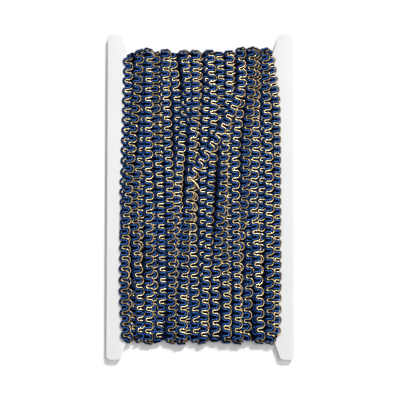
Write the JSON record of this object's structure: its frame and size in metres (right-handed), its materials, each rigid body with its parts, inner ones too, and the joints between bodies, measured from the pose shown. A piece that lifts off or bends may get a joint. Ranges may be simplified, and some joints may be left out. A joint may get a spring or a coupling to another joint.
{
  "type": "braid trim wound on a card",
  "caption": "Narrow blue and gold scroll braid wound lengthwise on an H-shaped white card, with its loose end lying slantwise over the turns.",
  "frame": {"origin": "under the middle of the card, on the surface that the winding lies on", "axes": "+X across the card, +Y up the card towards the loose end's start, +Z out of the card's front face"},
  "size_m": [0.145, 0.254, 0.0152],
  "materials": {
    "white_board": "smooth matt white board",
    "braid": "blue cord with a twist and a soft sheen, looped beside a gold cord",
    "gold_cord": "gold metallic thread"
  },
  "bodies": {
    "root": {"card": "white_board", "winding": "braid", "loose_end": "braid", "gold_tail": "gold_cord"}
  },
  "joints": []
}
